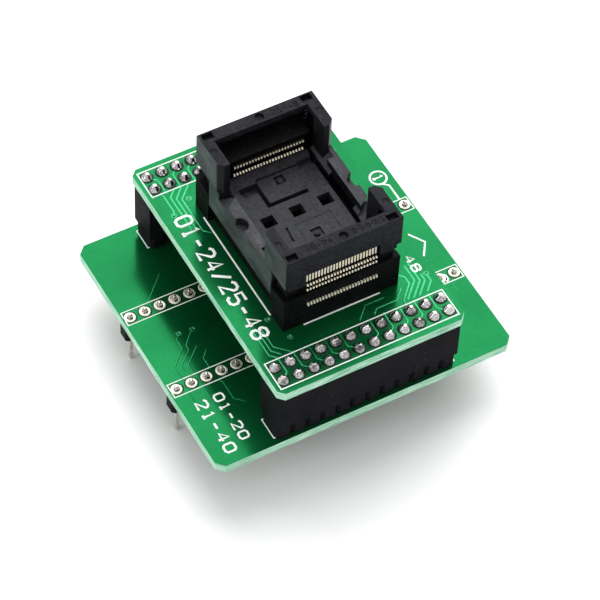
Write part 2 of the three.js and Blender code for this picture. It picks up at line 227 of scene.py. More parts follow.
def lines(name, paths, width, level, thick=PRINT_RISE):
    """Low rounded lines on a board: each path is its points and whether it closes."""
    curve = bpy.data.curves.new(name, "CURVE")
    curve.dimensions = "3D"
    curve.bevel_depth = width / 2 * MM
    curve.bevel_resolution = 1
    curve.use_fill_caps = True
    for points, closed in paths:
        spline = curve.splines.new("POLY")
        spline.points.add(len(points) - 1)
        spline.use_cyclic_u = closed
        for knot, (x, y) in zip(spline.points, points):
            knot.co = (x * MM, y * MM, 0, 1)
    drawn = bpy.data.objects.new(name, curve)
    bpy.context.scene.collection.objects.link(drawn)
    only(drawn)
    bpy.ops.object.convert(target="MESH")
    flat = Matrix.Diagonal((1, 1, 2 * thick / width, 1))
    drawn = bpy.context.object
    drawn.data.transform(Matrix.Translation((0, 0, level * MM)) @ flat)
    return smooth(drawn)


def ring(x, y, radius, steps=20):
    return [(x + radius * cos(2 * pi * i / steps), y + radius * sin(2 * pi * i / steps))
            for i in range(steps)], True


# strokes of the numbers on a grid four wide and six high
STROKES = {
    "0": [[(0, 1), (1, 0), (3, 0), (4, 1), (4, 5), (3, 6), (1, 6), (0, 5), (0, 1)]],
    "1": [[(1, 5), (2, 6), (2, 0)], [(1, 0), (3, 0)]],
    "2": [[(0, 5), (1, 6), (3, 6), (4, 5), (4, 4), (0, 0), (4, 0)]],
    "4": [[(3, 0), (3, 6), (0, 2), (4, 2)]],
    "5": [[(4, 6), (0, 6), (0, 3.5), (3, 3.5), (4, 2.5), (4, 1), (3, 0), (1, 0), (0, 1)]],
    "8": [[(1, 3.2), (0, 4.2), (0, 5), (1, 6), (3, 6), (4, 5), (4, 4.2), (3, 3.2), (1, 3.2), (0, 2.2),
           (0, 1), (1, 0), (3, 0), (4, 1), (4, 2.2), (3, 3.2)]],
    "-": [[(0.5, 3), (3.5, 3)]],
    "/": [[(0, 0), (4, 6)]],
}


def numerals(name, signs, low, high, level, width, along_x=False, thick=PRINT_RISE):
    """Stroked numbers fitted between two corners; they read towards -Y, or along X."""
    across, along = high[0] - low[0], high[1] - low[1]
    length, rise = (across, along) if along_x else (along, across)
    step = length / (6 * len(signs) - 2)
    paths = []
    for i, sign in enumerate(signs):
        for stroke in STROKES[sign]:
            flat = [((6 * i + u) * step, v / 6 * rise) for u, v in stroke]
            paths.append(([(low[0] + a, low[1] + b) if along_x else (low[0] + b, high[1] - a)
                           for a, b in flat], False))
    return lines(name, paths, width, level, thick)


# ---------- node groups ----------
def group(name, inputs, outputs):
    made = bpy.data.node_groups.new(name, "ShaderNodeTree")
    for label, kind, value in inputs:
        socket = made.interface.new_socket(name=label, in_out="INPUT", socket_type="NodeSocket" + kind)
        if value is not None:
            socket.default_value = value
    for label, kind in outputs:
        made.interface.new_socket(name=label, in_out="OUTPUT", socket_type="NodeSocket" + kind)
    start = made.nodes.new("NodeGroupInput").outputs
    end = made.nodes.new("NodeGroupOutput").inputs
    return made, start, end


def node(tree, kind, settings=None, **inputs):
    """Adds a node; inputs are values or outputs to link from, and _0, _1 are inputs by number."""
    made = tree.nodes.new("ShaderNode" + kind)
    for setting, value in (settings or {}).items():
        setattr(made, setting, value)
    for label, value in inputs.items():
        by_number = label[1:].isdigit()
        socket = made.inputs[int(label[1:]) if by_number else label.replace("_", " ")]
        if isinstance(value, bpy.types.NodeSocket):
            tree.links.new(value, socket)
        else:
            socket.default_value = value
    return made.outputs


def ranged(tree, value, low, high, to_low=0.0, to_high=1.0):
    return node(tree, "MapRange", Value=value, From_Min=low, From_Max=high,
                To_Min=to_low, To_Max=to_high)[0]


def maths(tree, operation, a, b):
    return node(tree, "Math", {"operation": operation}, _0=a, _1=b)[0]


def moulding_grain():
    """Fine spark-eroded texture of a moulded part, with a slow drift of tone over it."""
    tree, start, end = group("moulding grain", [
        ("Vector", "Vector", None), ("Grain Scale", "Float", 9000.0), ("Drift Scale", "Float", 220.0),
    ], [("Height", "Float"), ("Tone", "Float")])
    grain = node(tree, "TexNoise", Vector=start["Vector"], Scale=start["Grain Scale"], Detail=3.0)[0]
    pits = node(tree, "TexVoronoi", Vector=start["Vector"], Scale=start["Grain Scale"])[0]
    drift = node(tree, "TexNoise", Vector=start["Vector"], Scale=start["Drift Scale"], Detail=2.0)[0]
    height = maths(tree, "ADD", grain, maths(tree, "MULTIPLY", pits, 0.4))
    tone = maths(tree, "ADD", maths(tree, "MULTIPLY", grain, 0.4), maths(tree, "MULTIPLY", drift, 0.6))
    tree.links.new(height, end["Height"])
    tree.links.new(tone, end["Tone"])
    return tree


def edge_wear():
    """A mask that is strong on rounded outer edges and broken up by noise."""
    tree, start, end = group("edge wear", [
        ("Vector", "Vector", None), ("Scale", "Float", 1800.0), ("Amount", "Float", 0.6),
    ], [("Mask", "Float")])
    sharpness = node(tree, "NewGeometry")["Pointiness"]
    edges = ranged(tree, sharpness, 0.52, 0.62)
    broken = node(tree, "TexNoise", Vector=start["Vector"], Scale=start["Scale"], Detail=4.0)[0]
    worn = maths(tree, "MULTIPLY", edges, ranged(tree, broken, 0.35, 0.6))
    tree.links.new(maths(tree, "MULTIPLY", worn, start["Amount"]), end["Mask"])
    return tree


def dust():
    """Sparse specks and soft smudges."""
    tree, start, end = group("dust", [
        ("Vector", "Vector", None), ("Speck Scale", "Float", 2600.0), ("Smudge Scale", "Float", 130.0),
    ], [("Specks", "Float"), ("Smudge", "Float")])
    specks = node(tree, "TexNoise", Vector=start["Vector"], Scale=start["Speck Scale"], Detail=1.0)[0]
    smudge = node(tree, "TexNoise", Vector=start["Vector"], Scale=start["Smudge Scale"],
                  Detail=3.0, Distortion=0.6)[0]
    tree.links.new(ranged(tree, specks, 0.70, 0.76), end["Specks"])
    tree.links.new(ranged(tree, smudge, 0.35, 0.7), end["Smudge"])
    return tree


def plating():
    """Uneven bright metal: slow waves in the plating and fine drawn scratches."""
    tree, start, end = group("plating", [
        ("Vector", "Vector", None), ("Wave Scale", "Float", 900.0), ("Scratch Scale", "Float", 5000.0),
    ], [("Height", "Float"), ("Tone", "Float")])
    waves = node(tree, "TexNoise", Vector=start["Vector"], Scale=start["Wave Scale"], Detail=2.0)[0]
    scratches = node(tree, "TexNoise", Vector=start["Vector"], Scale=start["Scratch Scale"], Detail=4.0)[0]
    height = maths(tree, "ADD", waves, maths(tree, "MULTIPLY", scratches, 0.2))
    tree.links.new(height, end["Height"])
    tree.links.new(maths(tree, "MULTIPLY", waves, scratches), end["Tone"])
    return tree


# where a contact stands clear of the ribs and keeps its plating colour, the rest being painted dark as
# shade: nearest and farthest depth, lowest and highest level
CLEAR_FEET = ((13.7, 14.2, 4.0, 4.8),)
CLEAR_NOSES = ((13.42, 13.7, 7.1, 7.56), (13.36, 13.7, 8.22, 8.62))
CLEAR_BLADES = ((12.9, 13.3, 9.0, 11.3),)
CLEAR_TIPS = ((8.8, 9.2, 9.2, 9.7), (8.8, 9.14, 10.8, 11.3))


def lit_tips():
    """Marks the edges and tips of the contacts that stand clear of the ribs and catch the light."""
    tree, start, end = group("lit tips", [("Vector", "Vector", None)], [("Mask", "Float")])
    place = node(tree, "SeparateXYZ", Vector=start["Vector"])
    height = maths(tree, "SUBTRACT", place["Z"], ADAPTER_TOP * MM)
    depth = maths(tree, "ABSOLUTE", place["Y"], 0.0)
    mask = 0.0
    for near, far, low, high in CLEAR_FEET + CLEAR_NOSES + CLEAR_BLADES + CLEAR_TIPS:
        inside = 1.0
        for value, least, most in ((depth, near, far), (height, low, high)):
            inside = maths(tree, "MULTIPLY", inside, maths(tree, "GREATER_THAN", value, least * MM))
            inside = maths(tree, "MULTIPLY", inside, maths(tree, "LESS_THAN", value, most * MM))
        mask = maths(tree, "ADD", mask, inside)
    tree.links.new(mask, end["Mask"])
    return tree


def left_side_sheen():
    """Painted sheen: pale greenish streaks along the outer skin of the left side, where it mirrors the
    green board.
    """
    tree, start, end = group("left_side_sheen", [("Vector", "Vector", None), ("Skin", "Float", 0.0)],
                             [("Mask", "Float")])
    across = node(tree, "SeparateXYZ", Vector=start["Vector"])["X"]
    outside = maths(tree, "LESS_THAN", across, start["Skin"])
    long_way = node(tree, "Mapping", Vector=start["Vector"], Scale=(300.0, 160.0, 420.0))[0]
    streaks = node(tree, "TexNoise", Vector=long_way, Scale=1.0, Detail=4.0, Distortion=1.2)[0]
    tree.links.new(maths(tree, "MULTIPLY", outside, ranged(tree, streaks, 0.35, 0.75, 0.25, 1.0)),
                   end["Mask"])
    return tree


GRAIN, WEAR, DUST, PLATING = moulding_grain(), edge_wear(), dust(), plating()
LIT_TIPS_MASK, LEFT_SIDE_SHEEN = lit_tips(), left_side_sheen()


# ---------- materials ----------
class Finish:
    """A material with a shader whose even values are set once, and nodes for what varies."""

    def __init__(self, name, **even):
        self.material = bpy.data.materials.new(name)
        self.material.use_nodes = True
        self.tree = self.material.node_tree
        self.shader = self.tree.nodes["Principled BSDF"]
        for label, value in even.items():
            self.shader.inputs[label.replace("_", " ")].default_value = value
        self.place = node(self.tree, "TexCoord")["Object"]

    def use(self, shared, **inputs):
        made = self.tree.nodes.new("ShaderNodeGroup")
        made.node_tree = shared
        self.tree.links.new(self.place, made.inputs["Vector"])
        for label, value in inputs.items():
            made.inputs[label.replace("_", " ")].default_value = value
        return made.outputs

    def blend(self, factor, first, second):
        """A colour between two colours, by a mask."""
        made = node(self.tree, "Mix", {"data_type": "RGBA"})
        mix = self.tree.nodes[-1]
        self.tree.links.new(factor, mix.inputs[0])
        for socket, value in ((mix.inputs[6], first), (mix.inputs[7], second)):
            if isinstance(value, bpy.types.NodeSocket):
                self.tree.links.new(value, socket)
            else:
                socket.default_value = (*value, 1)
        return made[2]

    def link(self, value, label):
        self.tree.links.new(value, self.shader.inputs[label])

    def bump(self, height, strength, distance):
        bumped = node(self.tree, "Bump", Height=height, Strength=strength, Distance=distance * MM)
        self.link(bumped["Normal"], "Normal")


NO_SKIN = -99.0
DULL_TO_BRIGHT = (0.12, 0.34)   # where plating turns from dull to bright


def moulded(name, dark, light, rough, grain, wear, bump, shine, skin=NO_SKIN):
    """Moulded plastic; what lies further left than its skin gets a painted greenish sheen in streaks."""
    made = Finish(name, Specular_IOR_Level=shine)
    texture = made.use(GRAIN, Grain_Scale=grain)
    worn = made.use(WEAR, Amount=wear)["Mask"]
    dirt = made.use(DUST)
    body = made.blend(ranged(made.tree, texture["Tone"], 0.35, 0.65), dark, light)
    # painted sheen: the outer left side is tinted pale green, for the board it mirrors
    sheened_body = made.blend(made.use(LEFT_SIDE_SHEEN, Skin=skin * MM)["Mask"], body, (0.055, 0.075, 0.070))
    rubbed = made.blend(worn, sheened_body, tuple(2.0 * c + 0.02 for c in light))
    made.link(made.blend(maths(made.tree, "MULTIPLY", dirt["Specks"], 0.08), rubbed, (0.3, 0.3, 0.3)),
              "Base Color")
    made.link(ranged(made.tree, dirt["Smudge"], 0.0, 1.0, rough - 0.05, rough + 0.08), "Roughness")
    made.bump(texture["Height"], bump, 0.01)
    return made.material


def solder_mask(name, dark, light, shine):
    """Green lacquer over bright copper: it mirrors with a green tint, a little uneven."""
    made = Finish(name, Metallic=shine, Specular_IOR_Level=0.1)
    dirt = made.use(DUST, Smudge_Scale=60.0)
    texture = made.use(GRAIN, Grain_Scale=2500.0, Drift_Scale=90.0)
    tone = ranged(made.tree, texture["Tone"], 0.38, 0.62)
    made.link(made.blend(tone, dark, light), "Base Color")
    made.link(ranged(made.tree, dirt["Smudge"], 0.0, 1.0, 0.14, 0.24), "Roughness")
    made.bump(texture["Height"], 0.1, 0.01)
    return made.material


def laminate_edge():
    """Sawn glass-fibre edge: pale green, in thin layers, slightly furry."""
    made = Finish("laminate edge", Specular_IOR_Level=0.4)
    layers = node(made.tree, "Mapping", Vector=made.place, Scale=(300.0, 300.0, 6500.0))[0]
    fibres = node(made.tree, "TexNoise", Vector=layers, Scale=1.0, Detail=3.0)[0]
    texture = made.use(GRAIN, Grain_Scale=3000.0)
    tone = maths(made.tree, "ADD", maths(made.tree, "MULTIPLY", fibres, 0.7),
                 maths(made.tree, "MULTIPLY", texture["Tone"], 0.3))
    made.link(made.blend(ranged(made.tree, tone, 0.4, 0.6), (0.13, 0.40, 0.24), (0.52, 0.80, 0.62)),
              "Base Color")
    made.link(ranged(made.tree, fibres, 0.3, 0.7, 0.45, 0.65), "Roughness")
    made.bump(fibres, 0.4, 0.03)
    return made.material


def board_print():
    """White ink, a little thin in places."""
    made = Finish("board print", Specular_IOR_Level=0.4)
    texture = made.use(GRAIN, Grain_Scale=5000.0, Drift_Scale=900.0)
    made.link(made.blend(ranged(made.tree, texture["Tone"], 0.3, 0.5), (0.7, 0.82, 0.72),
                         (0.95, 0.97, 0.95)), "Base Color")
    made.link(ranged(made.tree, texture["Tone"], 0.3, 0.7, 0.5, 0.65), "Roughness")
    made.bump(texture["Height"], 0.3, 0.01)
    return made.material


def metal(name, dull, bright, smoothest, roughest, bump, waves=900.0, shine=1.0):
    """Uneven metal, rougher where it is dull."""
    made = Finish(name, Metallic=shine)
    texture = made.use(PLATING, Wave_Scale=waves)
    made.link(made.blend(ranged(made.tree, texture["Tone"], *DULL_TO_BRIGHT), dull, bright), "Base Color")
    made.link(ranged(made.tree, texture["Tone"], *DULL_TO_BRIGHT, roughest, smoothest), "Roughness")
    made.bump(texture["Height"], bump, 0.02)
    return made.material


def contact_gold():
    """Plated contacts, painted nearly black as shade where they run between the ribs of the base."""
    made = Finish("contact gold", Metallic=0.35)
    texture = made.use(PLATING)
    tone = ranged(made.tree, texture["Tone"], *DULL_TO_BRIGHT)
    plated = made.blend(tone, (0.95, 0.84, 0.58), (1.0, 0.96, 0.80))
    # painted shade: nearly black everywhere but the lit tips
    made.link(made.blend(made.use(LIT_TIPS_MASK)["Mask"], (0.02, 0.016, 0.01), plated), "Base Color")
    made.link(ranged(made.tree, texture["Tone"], *DULL_TO_BRIGHT, 0.5, 0.38), "Roughness")
    made.bump(texture["Height"], 0.2, 0.02)
    return made.material


MASK = solder_mask("solder mask", (0.002, 0.10, 0.028), (0.004, 0.13, 0.038), shine=0.6)
TRACK = solder_mask("masked track", (0.02, 0.22, 0.09), (0.04, 0.28, 0.12), shine=0.62)
FAINT_TRACK = solder_mask("faint track", (0.006, 0.14, 0.046), (0.010, 0.17, 0.06), shine=0.6)
OPENING = solder_mask("mask opening", (0.001, 0.018, 0.008), (0.002, 0.028, 0.012), shine=0.1)
LAMINATE = laminate_edge()
PRINT = board_print()
HEADER = moulded("header plastic", (0.006, 0.006, 0.0075), (0.010, 0.010, 0.012),
                 rough=0.5, grain=7000.0, wear=0.1, bump=0.08, shine=0.02)
BASE = moulded("base plastic", (0.002, 0.0022, 0.0025), (0.004, 0.0042, 0.005),
               rough=0.5, grain=9000.0, wear=0.1, bump=0.1, shine=0.03)
# its outer left side, past the skin, gets the painted greenish sheen
SOCKET = moulded("socket plastic", (0.006, 0.006, 0.008), (0.010, 0.0105, 0.014),
                 rough=0.34, grain=9000.0, wear=0.3, bump=0.14, shine=0.05, skin=cover_low.x + 0.12)
SEAT = moulded("seat plastic", (0.010, 0.0105, 0.013), (0.020, 0.021, 0.0255),
               rough=0.36, grain=9000.0, wear=0.3, bump=0.18, shine=0.09)
# painted light: a lighter copy of the socket plastic for the upward faces of the side rails
LIT_RAIL = moulded("rail painted lighter", (0.030, 0.031, 0.036), (0.055, 0.057, 0.064),
               rough=0.34, grain=9000.0, wear=0.3, bump=0.14, shine=0.05)
TIN = metal("tin plate", (0.55, 0.54, 0.5), (0.82, 0.8, 0.74), 0.18, 0.34, bump=0.3)
SOLDER = metal("solder", (0.03, 0.03, 0.032), (0.78, 0.75, 0.75), 0.10, 0.26, bump=0.3, waves=480.0)
# the pin ends are dark partly from their own dull metal and partly as painted shade of the hollow in each
# pad
PIN_END = metal("pin end", (0.03, 0.03, 0.028), (0.40, 0.38, 0.33), 0.15, 0.3, bump=0.4)
PAD = metal("tinned pad", (0.7, 0.68, 0.56), (0.95, 0.93, 0.8), 0.3, 0.42, bump=0.3, waves=500.0,
            shine=0.5)
GOLD = contact_gold()
STEEL = metal("spring wire", (0.03, 0.03, 0.032), (0.07, 0.07, 0.075), 0.35, 0.5, bump=0.2)


def fit(piece, body, slot, material, *nodes):
    """Finishes a piece: its material, its body and the CAD nodes it stands for; the slot is not used."""
    if not piece.data.materials:
        piece.data.materials.append(material)
    if nodes:
        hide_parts(*nodes)
    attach(piece, body)
    return piece


# ---------- boards ----------
def circuit_board(name, node_name, chamfer, vias, body):
    low, high = in_mm(node_name)
    board = block(name, low, high)
    with editing(board, "EDGE"):
        choose(board, lambda at, way: abs(way.z) > 0.9)
        bpy.ops.mesh.bevel(offset=chamfer * MM, segments=1, affect="EDGES")
    if vias:
        drill = rod("drill", 0.2, low.z - 1, high.z + 1, sides=10)
        carve(board, joined("drills", copies(drill, [(x, y, 0) for x, y in vias])))
    round_edges(board, 0.06)
    board.data.materials.append(MASK)
    board.data.materials.append(LAMINATE)
    with editing(board, "FACE"):
        choose(board, lambda at, way: abs(way.z) < 0.9)
        board.active_material_index = 1
        bpy.ops.object.material_slot_assign()
    return fit(board, body, "solder_mask", MASK, node_name)


BASE_VIAS = [(-19.0, 1.5), (-16.7, 1.35), (18.4, 3.2), (20.2, -3.4)]
ADAPTER_VIAS = [(-13.8, 13.1), (-10.2, 15.1), (14.45, -14.05), (-9.2, -15.0), (13.8, 13.4), (-10.6, -10.7)]
circuit_board("base_circuit_board", "base_board", 1.3, BASE_VIAS, "base")
circuit_board("adapter_circuit_board", "adapter_board", 1.0, ADAPTER_VIAS, "adapter")


# ---------- printed lines and numbers ----------
def rectangle(x0, x1, y0, y1):
    return [(x0, y0), (x1, y0), (x1, y1), (x0, y1)], True


def row_frames(x0, x1, row, inner, outer):
    """A printed frame round the front row and one round the rear row."""
    return [rectangle(x0, x1, s * row - inner, s * row + outer) for s in (-1, 1)]


def print_on_base():
    plug_frames = row_frames(-25.05, 25.1, PLUG_ROW, 1.3, 1.3)
    riser_frames = row_frames(-15.5, 15.5, HEADER_ROW, 1.9, 1.9)
    thin = lines("thin", plug_frames + riser_frames, BASE_LINE, BASE_TOP)
    chevron = [(21.6, 2.2), (23.2, -0.3), (21.6, -2.7)]
    tail = [(23.2, 12.85), (23.95, 12.2), (23.95, 9.0)]
    thick = lines("thick", [(chevron, False), (tail, False), ring(23.15, 14.3, 1.35)], 0.32, BASE_TOP)
    texts = [
        numerals("pins_a", "21-40", (-22.95, -21.4), (-21.25, -11.2), BASE_TOP, 0.38),
        numerals("pins_b", "01-20", (-19.9, -20.2), (-18.45, -11.2), BASE_TOP, 0.34),
        numerals("pin_1", "1", (22.4, 13.8), (23.9, 14.9), BASE_TOP, 0.34),
        numerals("pin_20", "8", (21.3, -8.6), (22.7, -7.2), BASE_TOP, 0.26),
    ]
    fit(joined("base_print", [thin, thick, *texts]), "base", "board_print", PRINT)


def print_on_adapter():
    frames = row_frames(-15.0, 15.0, HEADER_ROW, 2.55, 2.6)
    sides = [([(s * 9.9, 10.8), (s * 9.9, -10.2)], False) for s in (-1, 1)]
    ends = [([(-6.4, s * 13.98), (6.5, s * 13.98)], False) for s in (-1, 1)]
    thin = lines("thin", frames + sides + ends, ADAPTER_LINE, ADAPTER_TOP)
    texts = [
        numerals("contacts", "01-24/25-48", (-14.15, -13.2), (-11.65, 12.3), ADAPTER_TOP, 0.48),
        numerals("contact_48", "48", (13.0, -13.0), (14.3, -9.9), ADAPTER_TOP, 0.32),
    ]
    fit(joined("adapter_print", [thin, *texts]), "adapter", "board_print", PRINT)


print_on_base()
print_on_adapter()


# ---------- tracks under the mask ----------
def tracks_on_base():
    paths = [
        [(-19.0, 1.5), (-19.8, 0.6), (-19.8, -1.2), (-22.6, -4.0), (-22.6, -6.4)],
        [(-16.7, 1.35), (-18.0, 0.1), (-19.0, -1.0), (-19.0, -1.9), (-21.5, -4.2), (-21.5, -5.3)],
        [(-17.6, -1.8), (-20.4, -4.4), (-20.4, -6.2)],
        [(-16.6, -3.1), (-17.8, -4.3), (-17.8, -6.3)],
        [(-22.86, -8.9), (-22.86, -10.9)],
        [(-20.32, -8.9), (-20.32, -11.6)],
        [(-17.78, -8.9), (-17.3, -9.6), (-17.3, -13.0), (-15.9, -14.4)],
        [(-16.2, 13.1), (-20.32, 9.0)],
        [(18.4, 3.2), (18.4, 0.6), (20.32, -1.3), (20.32, -6.4)],
        [(22.86, 8.9), (22.86, 11.6), (16.4, 18.0)],
        [(20.32, 8.9), (20.32, 10.6), (16.4, 14.5)],
    ]
    mirrored = [[(-x, y) for x, y in path] for path in paths[4:8]]
    opened = [(path, False) for path in paths + mirrored]
    drawn = lines("base_tracks", opened, FAINT_TRACK_WIDTH, BASE_TOP, TRACK_RISE)
    fit(drawn, "base", "solder_mask", FAINT_TRACK)
    eyes = lines("base_via_eyes", [ring(x, y, 0.36) for x, y in BASE_VIAS], 0.2, BASE_TOP, EYE_RISE)
    fit(eyes, "base", "solder_mask", TRACK)


def header_links():
    """From an outer joint between two inner joints to the printed frame, but for one at each end."""
    paths = []
    for s in (-1, 1):
        outer, knee, inner = (s * (HEADER_ROW + off) for off in (PITCH / 2, 0.1, -2.9))
        for x in columns(HEADER_PINS):
            if 4 * PITCH < abs(x) < 5 * PITCH:
                continue
            inwards = -PITCH / 2 if x > 0 else PITCH / 2
            side = x + inwards if abs(x) > 5 * PITCH else x - inwards
            paths.append([(x, outer), (side, knee), (side, inner)])
    return paths


def tracks_on_adapter():
    rear_left = [
        [(-13.4, 17.5), (-13.4, 13.8), (-13.8, 13.1)],
        [(-11.5, 17.6), (-12.6, 16.5), (-12.6, 9.0)],
        [(-10.1, 17.7), (-11.9, 15.9), (-11.9, 9.6)],
        [(-9.0, 17.6), (-11.2, 15.4), (-11.2, 8.6), (-10.2, 7.6)],
    ]
    front_left = [
        [(-12.3, -11.6), (-12.3, -15.5), (-10.8, -17.0), (-10.16, -17.6)],
        [(-12.95, -11.7), (-12.95, -16.0), (-11.9, -17.2)],
        [(-13.6, -11.9), (-13.6, -16.6), (-12.7, -17.5)],
    ]
    front_right = [
        [(10.4, -12.2), (11.3, -13.1), (11.3, -14.5), (8.9, -16.9), (8.9, -17.6)],
        [(12.3, -11.2), (12.3, -14.3), (9.6, -17.0)],
        [(13.0, -11.1), (13.0, -14.7), (10.5, -17.2)],
        [(13.7, -13.7), (13.7, -15.0), (11.5, -17.2)],
        [(14.45, -14.1), (14.45, -15.5), (13.0, -17.0)],
        [(9.7, -14.7), (8.1, -16.3), (4.6, -16.3), (3.8, -17.1)],
        [(6.6, -15.0), (3.4, -15.0), (1.3, -17.1)],
    ]
    rear_right = [[(-x, y) for x, y in path] for path in rear_left[1:]]
    along_right = [[(x, -8.0), (x, 8.0)] for x in (11.2, 11.9, 12.6)]
    paths = header_links() + rear_left + front_left + front_right + rear_right + along_right
    opened = [(path, False) for path in paths]
    drawn = lines("tracks", opened, TRACK_WIDTH, ADAPTER_TOP, TRACK_RISE)
    eyes = lines("eyes", [ring(x, y, 0.38) for x, y in ADAPTER_VIAS], 0.24, ADAPTER_TOP, EYE_RISE)
    fit(joined("adapter_tracks", [drawn, eyes]), "adapter", "solder_mask", TRACK)


tracks_on_base()
tracks_on_adapter()


# ---------- solder ----------
def solder_joint(profile, sides=16):
    """A joint turned from (radius, height) steps."""
    joint = rod("joint", profile[0][0], 0, profile[1][1], sides=sides)
    with editing(joint, "FACE"):
        choose(joint, lambda at, way: way.z > 0.9)
        for (radius, height), (narrower, higher) in zip(profile[1:], profile[2:]):
            extrude(higher - height, narrower / radius)
    return joint


# solder by (radius, height), from the board up
DOME = [(0.93, 0), (0.93, 0.06), (0.90, 0.18), (0.80, 0.38), (0.64, 0.60), (0.50, 0.78),
        (0.42, 0.92), (0.34, 1.0), (0.16, 1.03)]
PAD_RING = [(0.95, 0), (0.95, 0.06), (0.88, 0.13), (0.66, 0.14), (0.56, 0.03)]
PIN_CONE = [(0.56, 0), (0.56, 0.06), (0.42, 0.07), (0.36, 0.16), (0.28, 0.24), (0.15, 0.26)]
HANGING = [(0.90, 0), (0.90, 0.05), (0.72, 0.18), (0.54, 0.4), (0.44, 0.7), (0.38, 1.0), (0.2, 1.04)]


def solder_row(name, profile, places, level, body, metal_of_row, upside_down=False):
    joint = solder_joint(profile)
    if upside_down:
        joint.data.transform(Matrix.Rotation(pi, 4, "X"))
    row = joined(name, copies(joint, [(x, y, level) for x, y in places]))
    fit(smooth(row, 60), body, "solder", metal_of_row)


header_places = [(x, y) for y in HEADER_ROWS for x in columns(HEADER_PINS)]
plug_places = [(x, s * PLUG_ROW) for s in (-1, 1) for x in columns(PLUG_PINS)]
solder_row("adapter_solder", DOME, header_places, ADAPTER_TOP, "adapter", SOLDER)
solder_row("base_pads", PAD_RING, plug_places, BASE_TOP, "base", PAD)
# dark pin ends in the pads: partly painted shade of the hollow round them
solder_row("base_solder_top", PIN_CONE, plug_places, BASE_TOP, "base", PIN_END)
solder_row("base_solder_under", HANGING, header_places, BASE_UNDER, "base", SOLDER, True)


def mask_openings():
    """Bare laminate that shows round the joints of both boards."""
    rows = (("adapter", header_places, ADAPTER_TOP), ("base", plug_places, BASE_TOP))
    for board, places, level in rows:
        halos = [ring(x, y, 1.02, 12) for x, y in places]
        drawn = lines(f"{board}_mask_openings", halos, OPENING_WIDTH, level, OPENING_RISE)
        fit(drawn, board, "solder_mask", OPENING)


mask_openings()


# ---------- pins ----------
def square_pin(low, high, point=0.3):
    pin = block("pin", (-PIN_HALF, -PIN_HALF, low + point), (PIN_HALF, PIN_HALF, high - point))
    with editing(pin, "FACE"):
        choose(pin, lambda at, way: way.z > 0.9)
        extrude(point, 0.5)
        bpy.ops.mesh.select_all(action="DESELECT")
        choose(pin, lambda at, way: way.z < -0.9)
        extrude(-point, 0.5)
    return round_edges(pin, 0.05)


def pin_rows():
    for end, s in SIDES:
        low, high = in_mm(f"plug_pins_{end}")
        places = [(x, s * PLUG_ROW, 0) for x in columns(PLUG_PINS)]
        row = joined(f"plug_pin_row_{end}", copies(square_pin(low.z, high.z), places))
        fit(row, "base", "tinned_pin", TIN, f"plug_pins_{end}")
        for side in ("outer", "inner"):
            cad = f"riser_pins_{end}_{side}"
            low, high = in_mm(cad)
            places = [(x, (low.y + high.y) / 2, 0) for x in columns(HEADER_PINS)]
            row = joined(f"riser_pin_row_{end}_{side}", copies(square_pin(low.z, high.z), places))
            fit(row, "base", "tinned_pin", TIN, cad)


pin_rows()


# ---------- header plastics ----------
def cell_bar(name, low, high, count, notch):
    """A moulded bar of equal cells with a notch between each two."""
    length = (high.x - low.x) / count
    cell = block(name, low, (low.x + length, high.y, high.z))
    with editing(cell, "EDGE"):
        choose(cell, lambda at, way: abs(way.z) > 0.9)
        bpy.ops.mesh.bevel(offset=notch * MM, segments=1, affect="EDGES")
    with editing(cell, "FACE"):
        choose(cell, lambda at, way: abs(way.x) > 0.9)
        bpy.ops.mesh.delete(type="FACE")
    apply(cell, "ARRAY", count=count, use_relative_offset=False, use_constant_offset=True,
          constant_offset_displace=(length * MM, 0, 0), use_merge_vertices=True, merge_threshold=1e-6)
    with editing(cell, "EDGE"):
        bpy.ops.mesh.select_all(action="SELECT")
        bpy.ops.mesh.fill_holes(sides=0)
    return cell


def header_plastics():
    for end in ENDS:
        for kind, pins, notch in (("plug_strip", PLUG_PINS, 0.4), ("riser", HEADER_PINS, 0.5)):
            low, high = in_mm(f"{kind}_{end}")
            bar = cell_bar(f"{kind}_body_{end}", low, high, pins, notch)
            fit(round_edges(bar, HEADER_BREAK), "base", "header_plastic", HEADER, f"{kind}_{end}")


def receptacles():
    for end, s in SIDES:
        low, high = in_mm(f"receptacle_{end}")
        body = block(f"receptacle_body_{end}", low, high)
        mouth = block("mouth", (-0.45, -0.45, low.z - 1), (0.45, 0.45, high.z - 0.6))
        rows = (s * HEADER_ROW - PITCH / 2, s * HEADER_ROW + PITCH / 2)
        mouths = copies(mouth, [(x, y, 0) for x in columns(HEADER_PINS) for y in rows])
        carve(body, joined("mouths", mouths))
        with editing(body, "EDGE"):
            choose(body, lambda at, way: abs(at.z - low.z) < 1e-3 and abs(at.x) < high.x - 0.2
                   and abs(abs(at.y) - HEADER_ROW) < 2.2)
            bpy.ops.mesh.bevel(offset=0.12 * MM, segments=1, affect="EDGES")
        fit(round_edges(body, HEADER_BREAK), "adapter", "header_plastic", HEADER, f"receptacle_{end}")


header_plastics()
receptacles()


# ---------- socket ----------
def socket_body():
    base = round_edges(made_from("socket_base", "socket_base_body"), 0.07)
    fit(base, "adapter", "base_plastic", BASE, "socket_base")


